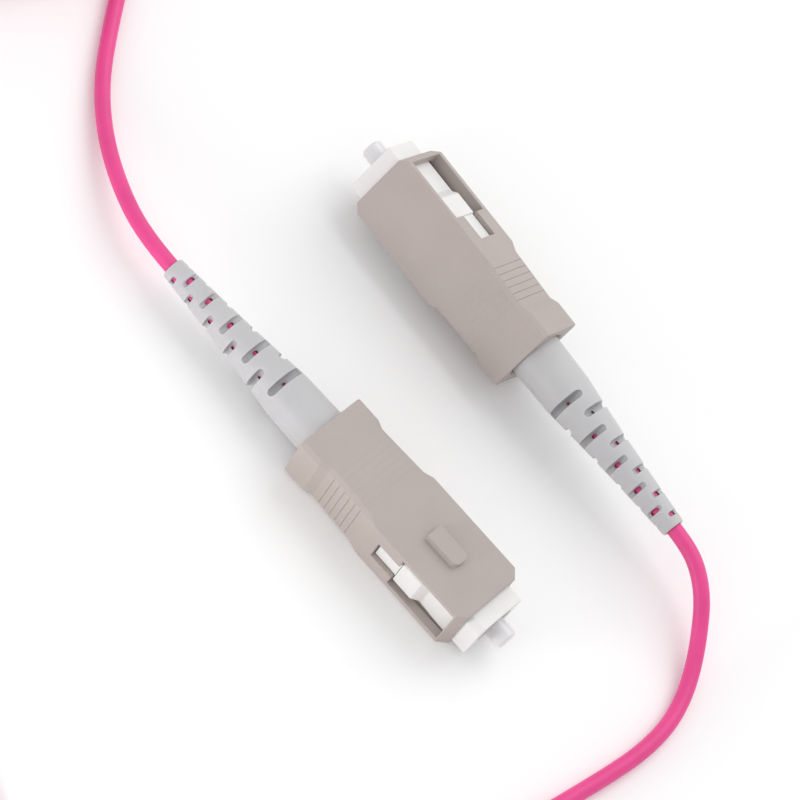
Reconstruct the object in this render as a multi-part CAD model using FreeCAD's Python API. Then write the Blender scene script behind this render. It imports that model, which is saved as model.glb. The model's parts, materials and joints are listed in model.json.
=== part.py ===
import FreeCAD, Part
import math
import os

# Simplex fibre patch cord with a push-pull connector on each end, in millimetres.
# A connector is drawn along its own axis: x forward from the rear of its grip, y to its left,
# z towards its key. It is then rolled, turned and laid on the floor, which is z = 0.

os.makedirs("parts", exist_ok=True)
V = FreeCAD.Vector
AXIS = V(1, 0, 0)

# Clearances
SLIDE_GAP = 0.1
BOOT_GAP = 0.2
PRESS_GAP = 0.03
SEAT_GAP = 0.05
SPRING_GAP = 0.3
BORE_GAP = 0.08

# Cable
CABLE_D = 1.8
BUFFER_D = 0.9
JACKET_BORE_GAP = 0.1

# Grip, outside
GRIP_LENGTH = 25.2
GRIP_SIDE_WALL = 1.1
GRIP_FACE_WALL = 0.625
REAR_BLOCK_LENGTH = 3.0
REAR_BLOCK_INSET = 0.05
FLARE_LENGTH = 1.05
WAIST_LENGTH = 6.3
WAIST_REAR_INSET = 0.45
WAIST_FRONT_INSET = 0.2
STEP_LENGTH = 1.25
EDGE_CHAMFER = 0.5
LEAD_IN = 0.95
KEY_LENGTH = 4.5
KEY_WIDTH = 2.0
KEY_HEIGHT = 0.8
KEY_CORNER = 0.7
KEY_SETBACK = 4.8

# Grip, ribs, windows and rear bore
RIB_COUNT = 6
RIB_PITCH = 0.85
RIB_WIDTH = 0.14
RIB_SIDE_DEPTH = 0.12
RIB_FACE_DEPTH = 0.03
RIB_PLAIN_STRIP = 1.0
WINDOW_LAND = 0.15
WINDOW_LENGTH = 7.8
WINDOW_HEIGHT = 5.9
WINDOW_TAIL_LENGTH = 3.2
WINDOW_TAIL_HEIGHT = 3.0
REAR_BORE_DEPTH = 6.0
MOUTH_CHAMFER = 0.25

# Plug frame
PLUG_PROUD = 2.0
PLUG_WIDTH = 6.7
PLUG_HEIGHT = 5.75
PLUG_CHAMFER = 0.7
PLUG_EDGE = 0.2
PLUG_REAR = 6.6
NOSE_GAP = 1.1
NOSE_BORE_DEPTH = 7.2
WEB_THICKNESS = 1.4
COLLAR_GAP = 0.2
LATCH_PROUD = 0.75
LATCH_HEIGHT = 4.6
LATCH_LENGTH = 2.8
LATCH_RAMP = 1.0
LATCH_CHAMFER = 0.7
RAIL_PROUD = 0.65

# Ferrule and flange
FERRULE_D = 2.5
FERRULE_PROUD = 4.2
FERRULE_CHAMFER = 0.25
SPIGOT_STEP = 0.2
SPIGOT_LENGTH = 1.8
COLLAR_STEP = 0.5
COLLAR_LENGTH = 1.3
BARREL_WALL = 0.65
BARREL_LENGTH = 2.1
BARREL_GAP = 0.15
TAIL_BORE_GAP = 0.1
TAIL_WALL = 0.65
TAIL_TUBE_LENGTH = 7.0
FIBRE_REACH = 3.8

# Spring
WIRE_D = 0.44
WIRE_FLATS = 6
SPRING_TURNS = 5.5

# Stop ring
STOP_OVERLAP = 0.85
STOP_SOCKET_DEPTH = 2.6
STOP_SOCKET_GAP = 0.25
STOP_COLLAR_GAP = 0.175
STOP_COLLAR_LENGTH = 1.2
STOP_BARREL_WALL = 1.15
STOP_BARREL_LENGTH = 6.2
STOP_BORE_GAP = 0.25

# Yarn and crimp sleeve
YARN_THICKNESS = 0.2
CRIMP_WALL = 0.3
CRIMP_SETBACK = 1.6
CRIMP_CONE_LENGTH = 1.0
CRIMP_TAIL_LENGTH = 3.1

# Boot
BOOT_LENGTH = 24.0
BOOT_NECK_WALL = 0.36
BOOT_NECK_START = 1.0
BOOT_SHOULDER = 0.15
BOOT_BASE_LENGTH = 5.5
BOOT_BASE_DRAFT = 0.12
BOOT_TIP_WALL = 0.35
BOOT_TIP_ROUND = 0.3
BOOT_HOLLOW = 0.12
SLOT_ROWS = 4
SLOTS_IN_ROW = 5
SLOT_FIRST = 1.3
SLOT_GAP = 1.28
SLOT_GAP_GROWTH = 0.13
SLOT_TIP_WIDTH = 0.55
SLOT_BASE_WIDTH = 0.9
SLOT_LAND = 0.48
SLOT_BREAK = 0.12

# Where each connector lies: rear of the grip, heading of the nose, and roll about its axis
END_A = {"rear": (-11.6, -4.75), "heading": -53.8, "roll": 0.0}
END_B = {"rear": (13.1, 3.55), "heading": 121.7, "roll": 120.0}

# Cable on the floor: route points chosen by hand, and a coil
FLOOR_RUN = CABLE_D / 2
ARC_SHARE = 0.45
ROUTE_A = [
    (-28.4, 18.4, 3.55),
    (-30.2, 24.3, 2.7),
    (-31.0, 31.2, 1.6),
    (-30.6, 38.2, 1.0),
    (-28.9, 45.0, FLOOR_RUN),
    (-26.9, 51.5, 0.95),
    (-26.2, 58.0, 1.3),
]
ROUTE_B = [
    (27.0, -18.95, 5.7),
    (27.9, -21.5, 5.3),
    (28.3, -24.4, 4.25),
    (28.0, -27.5, 2.85),
    (27.25, -30.8, 1.65),
    (25.8, -34.2, 1.0),
    (23.35, -37.5, FLOOR_RUN),
    (19.7, -40.4, FLOOR_RUN),
    (15.2, -42.9, FLOOR_RUN),
    (9.6, -45.7, FLOOR_RUN),
    (2.0, -49.6, FLOOR_RUN),
    (-8.5, -54.6, FLOOR_RUN),
    (-20.5, -58.6, FLOOR_RUN),
    (-33.0, -59.6, FLOOR_RUN),
    (-43.8, -55.2, FLOOR_RUN),
    (-50.6, -46.4, FLOOR_RUN),
    (-52.4, -34.0, FLOOR_RUN),
    (-52.0, -17.0, FLOOR_RUN),
    (-51.1, 3.0, FLOOR_RUN),
    (-50.9, 23.0, FLOOR_RUN),
    (-51.3, 38.0, 1.4),
    (-51.4, 49.0, 4.0),
    (-51.2, 57.5, 6.3),
]
COIL_CENTRE = (-38.6, 64.5)
COIL_MEAN_R = 10.4
COIL_LAYERS = 4
COIL_TURNS_IN_LAYER = 2.375
COIL_CORNER = 0.8
TIE_THICKNESS = 0.4
TIE_WIDTH = 4.0
TIE_CORNER = 1.2
TIE_BEARING = 165.0

# Values worked out from the sizes above
JACKET_R = CABLE_D / 2
BUFFER_R = BUFFER_D / 2
CAVITY_WIDTH = PLUG_WIDTH + 2 * SLIDE_GAP
CAVITY_HEIGHT = PLUG_HEIGHT + 2 * SLIDE_GAP
GRIP_WIDTH = CAVITY_WIDTH + 2 * GRIP_SIDE_WALL
GRIP_HEIGHT = CAVITY_HEIGHT + 2 * GRIP_FACE_WALL
WINDOW_FRONT = GRIP_LENGTH - LEAD_IN - WINDOW_LAND
WINDOW_REAR = WINDOW_FRONT - WINDOW_LENGTH
FERRULE_R = FERRULE_D / 2
SPIGOT_R = FERRULE_R - SPIGOT_STEP
BARREL_R = SPIGOT_R + BARREL_WALL
COLLAR_R = BARREL_R + COLLAR_STEP
REAR_BORE_R = COLLAR_R + COLLAR_GAP
NOSE_BORE_R = FERRULE_R + NOSE_GAP
TAIL_BORE_R = BUFFER_R + TAIL_BORE_GAP
TAIL_TUBE_R = TAIL_BORE_R + TAIL_WALL
STOP_BORE_R = BUFFER_R + STOP_BORE_GAP
STOP_BARREL_R = STOP_BORE_R + STOP_BARREL_WALL
STOP_COLLAR_R = CAVITY_HEIGHT / 2 - STOP_COLLAR_GAP
PLUG_FRONT = GRIP_LENGTH + PLUG_PROUD
WEB_FRONT = PLUG_FRONT - NOSE_BORE_DEPTH
WEB_REAR = WEB_FRONT - WEB_THICKNESS
FERRULE_TIP = GRIP_LENGTH + FERRULE_PROUD
COLLAR_FRONT = WEB_REAR - SEAT_GAP
COLLAR_REAR = COLLAR_FRONT - COLLAR_LENGTH
BARREL_FRONT = COLLAR_FRONT + BARREL_LENGTH
TAIL_TUBE_REAR = COLLAR_REAR - TAIL_TUBE_LENGTH
STOP_FRONT = TAIL_TUBE_REAR + STOP_OVERLAP
STOP_COLLAR_REAR = PLUG_REAR - STOP_COLLAR_LENGTH
STOP_REAR = STOP_COLLAR_REAR - STOP_BARREL_LENGTH
YARN_INNER_R = STOP_BARREL_R + PRESS_GAP
YARN_R = YARN_INNER_R + YARN_THICKNESS
CRIMP_INNER_R = YARN_R + PRESS_GAP
CRIMP_R = CRIMP_INNER_R + CRIMP_WALL
CRIMP_FRONT = STOP_COLLAR_REAR - CRIMP_SETBACK
CRIMP_CONE_FRONT = STOP_REAR - SEAT_GAP
CRIMP_CONE_REAR = CRIMP_CONE_FRONT - CRIMP_CONE_LENGTH
CRIMP_REAR = CRIMP_CONE_REAR - CRIMP_TAIL_LENGTH
CRIMP_TAIL_INNER_R = JACKET_R + PRESS_GAP
CRIMP_TAIL_R = CRIMP_TAIL_INNER_R + CRIMP_WALL
BOOT_TAIL = -BOOT_LENGTH
BOOT_BORE_R = JACKET_R + BORE_GAP
BOOT_TIP_R = BOOT_BORE_R + BOOT_TIP_WALL
BOOT_CRIMP_BORE_R = CRIMP_R + BORE_GAP
BOOT_NECK_R = BOOT_CRIMP_BORE_R + BOOT_NECK_WALL
BOOT_BASE_R = BOOT_NECK_R + BOOT_SHOULDER
BOOT_BASE_END_R = BOOT_BASE_R - BOOT_BASE_DRAFT
SLOT_FLOOR = BOOT_BORE_R - SLOT_BREAK
COIL_HALF_WIDTH = COIL_TURNS_IN_LAYER * CABLE_D / 2
COIL_OUTER_R = COIL_MEAN_R + COIL_HALF_WIDTH + JACKET_R
COIL_INNER_R = COIL_MEAN_R - COIL_HALF_WIDTH - JACKET_R
COIL_START_R = COIL_MEAN_R + COIL_HALF_WIDTH
COIL_HEIGHT = COIL_LAYERS * CABLE_D


def polygon(points):
    """A face inside a closed run of points."""
    return Part.Face(Part.makePolygon([V(*p) for p in points] + [V(*points[0])]))


def turned(profile):
    """A solid of revolution about the connector's axis, from (x, radius) points."""
    return polygon([(x, 0, r) for x, r in profile]).revolve(V(0, 0, 0), AXIS, 360)


def rod(start, end, radius):
    """A round bar along the connector's axis."""
    return Part.makeCylinder(radius, end - start, V(start, 0, 0), AXIS)


def block(start, end, width, height):
    """A bar of rectangular section along the connector's axis."""
    return Part.makeBox(end - start, width, height, V(start, -width / 2, -height / 2))


def frame_section(x, width, height, chamfer):
    """The plug frame's outline across its axis, with its two edges on the key side cut off."""
    half_w = width / 2
    half_h = height / 2
    return polygon([
        (x, -half_w, -half_h),
        (x, half_w, -half_h),
        (x, half_w, half_h - chamfer),
        (x, half_w - chamfer, half_h),
        (x, chamfer - half_w, half_h),
        (x, -half_w, half_h - chamfer),
    ])


# Grip
def grip_outline(z, chamfer):
    """The grip seen from its key side, drawn in by the chamfer along its rear half."""
    waist_start = REAR_BLOCK_LENGTH + FLARE_LENGTH
    waist_end = waist_start + WAIST_LENGTH
    half = GRIP_WIDTH / 2
    side = [
        (0, half - REAR_BLOCK_INSET - chamfer),
        (REAR_BLOCK_LENGTH, half - REAR_BLOCK_INSET - chamfer),
        (waist_start, half - WAIST_REAR_INSET - chamfer),
        (waist_end, half - WAIST_FRONT_INSET - chamfer),
        (waist_end + STEP_LENGTH, half),
        (GRIP_LENGTH - LEAD_IN, half),
        (GRIP_LENGTH, half - LEAD_IN),
    ]
    points = [V(x, y, z) for x, y in side] + [V(x, -y, z) for x, y in reversed(side)]
    return Part.makePolygon(points + [points[0]])


def waist_width(x):
    """Full width of the tapered waist at a distance from the grip's rear."""
    share = (x - REAR_BLOCK_LENGTH - FLARE_LENGTH) / WAIST_LENGTH
    inset = WAIST_REAR_INSET + share * (WAIST_FRONT_INSET - WAIST_REAR_INSET)
    return GRIP_WIDTH - 2 * inset


def rib_grooves():
    """Shallow grooves round the waist, which leave finger ribs between them."""
    first = REAR_BLOCK_LENGTH + FLARE_LENGTH + RIB_PLAIN_STRIP
    grooves = []
    for number in range(RIB_COUNT):
        start = first + number * RIB_PITCH
        end = start + RIB_WIDTH
        ring = block(start, end, 2 * GRIP_WIDTH, 2 * GRIP_HEIGHT)
        core_width = waist_width(start) - 2 * RIB_SIDE_DEPTH
        grooves.append(ring.cut(block(start, end, core_width, GRIP_HEIGHT - 2 * RIB_FACE_DEPTH)))
    return grooves


def make_grip():
    """Sliding outer sleeve with its key, windows, ribs and lead-in corners."""
    top = GRIP_HEIGHT / 2
    levels = ((-top, EDGE_CHAMFER), (EDGE_CHAMFER - top, 0), (top - EDGE_CHAMFER, 0), (top, EDGE_CHAMFER))
    body = Part.makeLoft([grip_outline(z, chamfer) for z, chamfer in levels], True, True)

    key_front = GRIP_LENGTH - KEY_SETBACK
    key_rear = key_front - KEY_LENGTH
    key_root = CAVITY_HEIGHT / 2
    key_depth = top + KEY_HEIGHT - key_root
    key = Part.makeBox(KEY_LENGTH, KEY_WIDTH, key_depth, V(key_rear, -KEY_WIDTH / 2, key_root))
    upright_edges = [edge for edge in key.Edges if edge.BoundBox.ZLength > KEY_HEIGHT]
    front_edges = [edge for edge in upright_edges if edge.BoundBox.XMin > key_rear]
    body = body.fuse(key.makeFillet(KEY_CORNER, front_edges))

    bore_r = BOOT_BASE_R + BOOT_GAP
    cavity = frame_section(REAR_BORE_DEPTH, CAVITY_WIDTH, CAVITY_HEIGHT, PLUG_CHAMFER)
    cuts = rib_grooves()
    cuts.append(cavity.extrude(V(GRIP_LENGTH - REAR_BORE_DEPTH, 0, 0)))
    cuts.append(rod(0, REAR_BORE_DEPTH, bore_r))
    cuts.append(Part.makeCone(bore_r + MOUTH_CHAMFER, bore_r, MOUTH_CHAMFER, V(0, 0, 0), AXIS))
    cuts.append(block(WINDOW_REAR, WINDOW_FRONT, 2 * GRIP_WIDTH, WINDOW_HEIGHT))
    cuts.append(block(WINDOW_REAR - WINDOW_TAIL_LENGTH, WINDOW_REAR, 2 * GRIP_WIDTH, WINDOW_TAIL_HEIGHT))
    return body.cut(cuts).removeSplitter()


# Plug frame
def latch_block(side):
    """Raised block at the rear of a window, with a ramp in front and its edge on the key side cut off."""
    rear = WINDOW_REAR + SLIDE_GAP
    face = side * PLUG_WIDTH / 2
    crest = side * (PLUG_WIDTH / 2 + LATCH_PROUD)
    root = side * REAR_BORE_R
    low = -LATCH_HEIGHT / 2
    outline = polygon([
        (rear, root, low),
        (rear, crest, low),
        (rear + LATCH_LENGTH, crest, low),
        (rear + LATCH_LENGTH + LATCH_RAMP, face, low),
        (rear + LATCH_LENGTH + LATCH_RAMP, root, low),
    ])
    corner = polygon([
        (rear, crest, -low),
        (rear, crest, -low - LATCH_CHAMFER),
        (rear, crest - side * LATCH_CHAMFER, -low),
    ])
    edge_cut = corner.extrude(V(LATCH_LENGTH + LATCH_RAMP, 0, 0))
    return outline.extrude(V(0, 0, LATCH_HEIGHT)).cut(edge_cut)


def latch_rails():
    """A bar across the frame, whose two ends run back from the latch blocks along the windows' tails."""
    rear = WINDOW_REAR - WINDOW_TAIL_LENGTH + SLIDE_GAP
    height = WINDOW_TAIL_HEIGHT - 2 * SLIDE_GAP
    return block(rear, WINDOW_REAR + SLIDE_GAP, PLUG_WIDTH + 2 * RAIL_PROUD, height)


def make_plug_frame():
    """Inner frame that guides the ferrule and carries the two latch blocks."""
    section = frame_section(PLUG_REAR, PLUG_WIDTH, PLUG_HEIGHT, PLUG_CHAMFER)
    straight = section.extrude(V(PLUG_FRONT - PLUG_EDGE - PLUG_REAR, 0, 0))
    nose_start = frame_section(PLUG_FRONT - PLUG_EDGE, PLUG_WIDTH, PLUG_HEIGHT, PLUG_CHAMFER)
    nose_width = PLUG_WIDTH - 2 * PLUG_EDGE
    nose_height = PLUG_HEIGHT - 2 * PLUG_EDGE
    nose_end = frame_section(PLUG_FRONT, nose_width, nose_height, PLUG_CHAMFER)
    nose = Part.makeLoft([nose_start.OuterWire, nose_end.OuterWire], True, True)
    body = straight.fuse([nose, latch_block(1), latch_block(-1), latch_rails()])
    cuts = [
        rod(PLUG_REAR, WEB_REAR, REAR_BORE_R),
        rod(WEB_REAR, WEB_FRONT, BARREL_R + BARREL_GAP),
        rod(WEB_FRONT, PLUG_FRONT, NOSE_BORE_R),
    ]
    return body.cut(cuts).removeSplitter()


# Ferrule, flange and spring
def make_ferrule():
    """Ceramic pin, with a stepped end that is pressed into the flange."""
    spigot_rear = BARREL_FRONT - SPIGOT_LENGTH
    return turned([
        (spigot_rear, 0),
        (spigot_rear, SPIGOT_R),
        (BARREL_FRONT, SPIGOT_R),
        (BARREL_FRONT, FERRULE_R),
        (FERRULE_TIP - FERRULE_CHAMFER, FERRULE_R),
        (FERRULE_TIP, FERRULE_R - FERRULE_CHAMFER),
        (FERRULE_TIP, 0),
    ])


def make_ferrule_flange():
    """Metal collar with a barrel that holds the ferrule and a tail tube for the fibre."""
    socket_r = SPIGOT_R + PRESS_GAP
    socket_rear = BARREL_FRONT - SPIGOT_LENGTH - SEAT_GAP
    return turned([
        (TAIL_TUBE_REAR, TAIL_BORE_R),
        (TAIL_TUBE_REAR, TAIL_TUBE_R),
        (COLLAR_REAR, TAIL_TUBE_R),
        (COLLAR_REAR, COLLAR_R),
        (COLLAR_FRONT, COLLAR_R),
        (COLLAR_FRONT, BARREL_R),
        (BARREL_FRONT, BARREL_R),
        (BARREL_FRONT, socket_r),
        (socket_rear, socket_r),
        (socket_rear, TAIL_BORE_R),
    ])


def make_spring():
    """Open wire spring between the stop ring and the flange's collar, its round wire drawn with flats."""
    start = STOP_FRONT + SEAT_GAP + WIRE_D / 2
    length = COLLAR_REAR - SEAT_GAP - WIRE_D / 2 - start
    radius = TAIL_TUBE_R + SPRING_GAP + WIRE_D / 2
    pitch = length / SPRING_TURNS
    helix = Part.makeHelix(pitch, length, radius)
    corners = []
    for flat in range(WIRE_FLATS + 1):
        angle = 2 * math.pi * flat / WIRE_FLATS
        corners.append(V(radius + WIRE_D / 2 * math.cos(angle), 0, WIRE_D / 2 * math.sin(angle)))
    coil = Part.Wire(helix.Edges).makePipeShell([Part.makePolygon(corners)], True, True)
    coil.rotate(V(0, 0, 0), V(0, 1, 0), 90)
    coil.translate(V(start, 0, 0))
    return coil


# Stop ring, yarn and crimp sleeve
def make_stop_ring():
    """Turned ring that closes the plug frame and carries the crimp on its rear barrel."""
    reach_r = REAR_BORE_R - SEAT_GAP
    socket_r = TAIL_TUBE_R + STOP_SOCKET_GAP
    return turned([
        (STOP_REAR, STOP_BORE_R),
        (STOP_REAR, STOP_BARREL_R),
        (STOP_COLLAR_REAR, STOP_BARREL_R),
        (STOP_COLLAR_REAR, STOP_COLLAR_R),
        (PLUG_REAR, STOP_COLLAR_R),
        (PLUG_REAR, reach_r),
        (STOP_FRONT, reach_r),
        (STOP_FRONT, socket_r),
        (STOP_FRONT - STOP_SOCKET_DEPTH, socket_r),
        (STOP_FRONT - STOP_SOCKET_DEPTH, STOP_BORE_R),
    ])


def make_aramid_yarn():
    """Strength yarn spread over the stop ring's barrel, under the crimp sleeve."""
    return turned([
        (STOP_REAR, YARN_INNER_R),
        (STOP_REAR, YARN_R),
        (CRIMP_FRONT, YARN_R),
        (CRIMP_FRONT, YARN_INNER_R),
    ])


def make_crimp_sleeve():
    """Metal sleeve crimped on the yarn in front and on the jacket behind."""
    return turned([
        (CRIMP_FRONT, CRIMP_INNER_R),
        (CRIMP_FRONT, CRIMP_R),
        (CRIMP_CONE_FRONT, CRIMP_R),
        (CRIMP_CONE_REAR, CRIMP_TAIL_R),
        (CRIMP_REAR, CRIMP_TAIL_R),
        (CRIMP_REAR, CRIMP_TAIL_INNER_R),
        (CRIMP_CONE_REAR, CRIMP_TAIL_INNER_R),
        (CRIMP_CONE_FRONT, CRIMP_INNER_R),
    ])


# Boot
def boot_profile():
    """Half section of the boot: neck, plain base, two-step taper, round tip and stepped bore."""
    front = STOP_COLLAR_REAR - SEAT_GAP
    taper_end = BOOT_TAIL + BOOT_TIP_ROUND
    taper_middle = (taper_end - BOOT_BASE_LENGTH) / 2
    middle_r = (BOOT_BASE_END_R + BOOT_TIP_R) / 2 - BOOT_HOLLOW
    tip_bend = BOOT_TIP_ROUND * math.sqrt(0.5)
    tip_centre_r = BOOT_TIP_R - BOOT_TIP_ROUND
    tail_bore = CRIMP_TAIL_R + BORE_GAP
    corners = [
        (front, BOOT_CRIMP_BORE_R),
        (front, BOOT_NECK_R),
        (BOOT_NECK_START, BOOT_NECK_R),
        (BOOT_NECK_START, BOOT_BASE_R),
        (0, BOOT_BASE_R),
        (-BOOT_BASE_LENGTH, BOOT_BASE_END_R),
        (taper_middle, middle_r),
        (taper_end, BOOT_TIP_R),
    ]
    bore = [
        (BOOT_TAIL, tip_centre_r),
        (BOOT_TAIL, BOOT_BORE_R),
        (CRIMP_REAR - SEAT_GAP, BOOT_BORE_R),
        (CRIMP_REAR - SEAT_GAP, tail_bore),
        (CRIMP_CONE_REAR, tail_bore),
        (CRIMP_CONE_FRONT, BOOT_CRIMP_BORE_R),
        (front, BOOT_CRIMP_BORE_R),
    ]
    tip_middle = (taper_end - tip_bend, tip_centre_r + tip_bend)
    tip = [(taper_end, BOOT_TIP_R), tip_middle, (BOOT_TAIL, tip_centre_r)]
    edges = [Part.Arc(*[V(x, 0, r) for x, r in tip]).toShape()]
    for run in (corners, bore):
        spots = [V(x, 0, r) for x, r in run]
        edges += [Part.LineSegment(a, b).toShape() for a, b in zip(spots, spots[1:])]
    return Part.Face(Part.Wire(Part.__sortEdges__(edges)))


def taper_radius(x):
    """Outside radius of the boot, taken as straight from its plain base to its tip."""
    share = (x - BOOT_TAIL) / (BOOT_LENGTH - BOOT_BASE_LENGTH)
    return BOOT_TIP_R + share * (BOOT_BASE_END_R - BOOT_TIP_R)


def slot_cutter(x, width, half_length):
    """A round-ended slot across the boot, from its floor outwards along z."""
    half = width / 2
    flat = half_length - half
    corners = [V(x - half, -flat, 0), V(x - half, flat, 0), V(x + half, flat, 0), V(x + half, -flat, 0)]
    outline = Part.Wire([
        Part.LineSegment(corners[0], corners[1]).toShape(),
        Part.Arc(corners[1], V(x, half_length, 0), corners[2]).toShape(),
        Part.LineSegment(corners[2], corners[3]).toShape(),
        Part.Arc(corners[3], V(x, -half_length, 0), corners[0]).toShape(),
    ])
    slot = Part.Face(outline).extrude(V(0, 0, BOOT_BASE_R))
    slot.translate(V(0, 0, SLOT_FLOOR))
    return slot


def boot_slots():
    """Four rows of slots, wider apart towards the base, with each row half a step from the next."""
    count = 2 * SLOTS_IN_ROW
    slots = []
    for number in range(count):
        x = BOOT_TAIL + SLOT_FIRST + number * SLOT_GAP + SLOT_GAP_GROWTH * number * (number - 1) / 2
        width = SLOT_TIP_WIDTH + (SLOT_BASE_WIDTH - SLOT_TIP_WIDTH) * number / (count - 1)
        cutter = slot_cutter(x, width, taper_radius(x) - SLOT_LAND)
        for row in range(SLOT_ROWS):
            if row % 2 == number % 2:
                continue
            slot = cutter.copy()
            slot.rotate(V(0, 0, 0), AXIS, 360 / SLOT_ROWS * row)
            slots.append(slot)
    return slots


def make_boot():
    """Flexible strain relief that the grip slides over."""
    return boot_profile().revolve(V(0, 0, 0), AXIS, 360).cut(boot_slots())


# Cable inside a connector
def make_jacket_end():
    """The jacket's last stretch, through the boot and into the crimp sleeve."""
    bore = rod(BOOT_TAIL, CRIMP_CONE_REAR, BUFFER_R + JACKET_BORE_GAP)
    return rod(BOOT_TAIL, CRIMP_CONE_REAR, JACKET_R).cut(bore)


def make_buffered_fibre():
    """The buffered fibre, from the boot's tail into the flange's tail tube."""
    return rod(BOOT_TAIL, TAIL_TUBE_REAR + FIBRE_REACH, BUFFER_R)


# Cable on the floor
def tube_along(points, name):
    """A round tube on straight runs joined by tangent arcs as large as the runs allow."""
    spots = [V(*p) for p in points]
    edges = []
    start = spots[0]
    radii = []
    for before, here, after in zip(spots, spots[1:], spots[2:]):
        back = before - here
        ahead = after - here
        turn = math.pi - back.getAngle(ahead)
        reach = ARC_SHARE * min(back.Length, ahead.Length)
        radii.append(reach / math.tan(turn / 2))
        back.normalize()
        ahead.normalize()
        towards = back + ahead
        towards.normalize()
        sagitta = radii[-1] * (1 / math.cos(turn / 2) - 1)
        entry = here + back * reach
        leave = here + ahead * reach
        edges.append(Part.LineSegment(start, entry).toShape())
        edges.append(Part.Arc(entry, here + towards * sagitta, leave).toShape())
        start = leave
    edges.append(Part.LineSegment(start, spots[-1]).toShape())
    path = Part.Wire(edges)
    section = Part.Wire(Part.makeCircle(JACKET_R, spots[0], spots[1] - spots[0]))
    tube = path.makePipeShell([section], True, True)
    plain_volume = math.pi * JACKET_R ** 2 * path.Length
    print(name, "radii", [round(r, 1) for r in radii])
    print(name, "length", round(path.Length, 1), "volume ratio", round(tube.Volume / plain_volume, 4))
    return tube


def make_cable_coil():
    """Outer shape of the wound cable, a ring with its rims taken off."""
    ring = Part.makeCylinder(COIL_OUTER_R, COIL_HEIGHT, V(*COIL_CENTRE, TIE_THICKNESS))
    ring = ring.cut(Part.makeCylinder(COIL_INNER_R, COIL_HEIGHT, V(*COIL_CENTRE, TIE_THICKNESS)))
    rims = [edge for edge in ring.Edges if isinstance(edge.Curve, Part.Circle)]
    return ring.makeChamfer(COIL_CORNER, rims)


def rounded_bar(length, width, height, corner):
    """A bar along x with its four long edges rounded, centred across and resting on z = 0."""
    bar = Part.makeBox(length, width, height, V(-length / 2, -width / 2, 0))
    long_edges = [edge for edge in bar.Edges if abs(edge.tangentAt(edge.FirstParameter).x) > 0.9]
    return bar.makeFillet(corner, long_edges)


def make_coil_tie():
    """Strap round one side of the coil."""
    inside = COIL_OUTER_R - COIL_INNER_R
    outer = rounded_bar(TIE_WIDTH, inside + 4 * TIE_THICKNESS, COIL_HEIGHT + 2 * TIE_THICKNESS, TIE_CORNER)
    hole = rounded_bar(TIE_WIDTH, inside + 2 * TIE_THICKNESS, COIL_HEIGHT, TIE_CORNER - TIE_THICKNESS)
    hole.translate(V(0, 0, TIE_THICKNESS))
    strap = outer.cut(hole)
    strap.translate(V(0, -COIL_MEAN_R, 0))
    strap.rotate(V(0, 0, 0), V(0, 0, 1), TIE_BEARING)
    strap.translate(V(*COIL_CENTRE, 0))
    return strap


# Placing and writing
def axis_height(roll):
    """Height of a connector's axis when its grip rests on the floor at this roll."""
    angle = math.radians(roll)
    return abs(math.sin(angle)) * GRIP_WIDTH / 2 + abs(math.cos(angle)) * GRIP_HEIGHT / 2


def lay_down(end):
    """The placement that lays a connector on the floor."""
    roll = FreeCAD.Placement(V(0, 0, 0), FreeCAD.Rotation(AXIS, end["roll"]))
    spot = V(*end["rear"], axis_height(end["roll"]))
    return FreeCAD.Placement(spot, FreeCAD.Rotation(V(0, 0, 1), end["heading"])).multiply(roll)


def cable_exit(end):
    """Point on a connector's axis at the tail of its boot."""
    return tuple(lay_down(end).multVec(V(BOOT_TAIL, 0, 0)))


def write(shape, node):
    """One closed solid per node."""
    solids = shape.Solids
    if len(solids) != 1 or not solids[0].isValid():
        raise ValueError(f"{node}: {len(solids)} solids, valid {shape.isValid()}")
    solids[0].exportStep(f"parts/{node}.step")


CONNECTOR = {
    "grip": make_grip,
    "plug_frame": make_plug_frame,
    "ferrule": make_ferrule,
    "ferrule_flange": make_ferrule_flange,
    "spring": make_spring,
    "stop_ring": make_stop_ring,
    "aramid_yarn": make_aramid_yarn,
    "crimp_sleeve": make_crimp_sleeve,
    "boot": make_boot,
    "jacket_end": make_jacket_end,
    "buffered_fibre": make_buffered_fibre,
}

for piece, maker in CONNECTOR.items():
    drawn = maker()
    for suffix, end in (("a", END_A), ("b", END_B)):
        laid = drawn.copy()
        laid.transformShape(lay_down(end).toMatrix())
        write(laid, f"{piece}_{suffix}")

coil_low = TIE_THICKNESS + JACKET_R
coil_high = TIE_THICKNESS + COIL_HEIGHT - JACKET_R
coil_in = (COIL_CENTRE[0] + COIL_START_R, COIL_CENTRE[1], coil_low)
coil_out = (COIL_CENTRE[0] - COIL_START_R, COIL_CENTRE[1], coil_high)
write(tube_along([cable_exit(END_A)] + ROUTE_A + [coil_in], "cable_lead_a"), "cable_lead_a")
write(tube_along([cable_exit(END_B)] + ROUTE_B + [coil_out], "cable_lead_b"), "cable_lead_b")
write(make_cable_coil(), "cable_coil")
write(make_coil_tie(), "coil_tie")
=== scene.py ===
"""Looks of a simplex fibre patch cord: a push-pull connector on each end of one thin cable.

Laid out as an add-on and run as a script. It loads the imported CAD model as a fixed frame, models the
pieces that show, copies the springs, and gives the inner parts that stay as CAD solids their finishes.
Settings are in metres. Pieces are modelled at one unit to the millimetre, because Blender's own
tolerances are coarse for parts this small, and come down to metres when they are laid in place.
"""

import json
import math
from contextlib import contextmanager
from types import SimpleNamespace

import bmesh
import bpy
from bpy.props import FloatProperty, FloatVectorProperty, IntProperty, PointerProperty
from mathutils import Matrix, Vector


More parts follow.
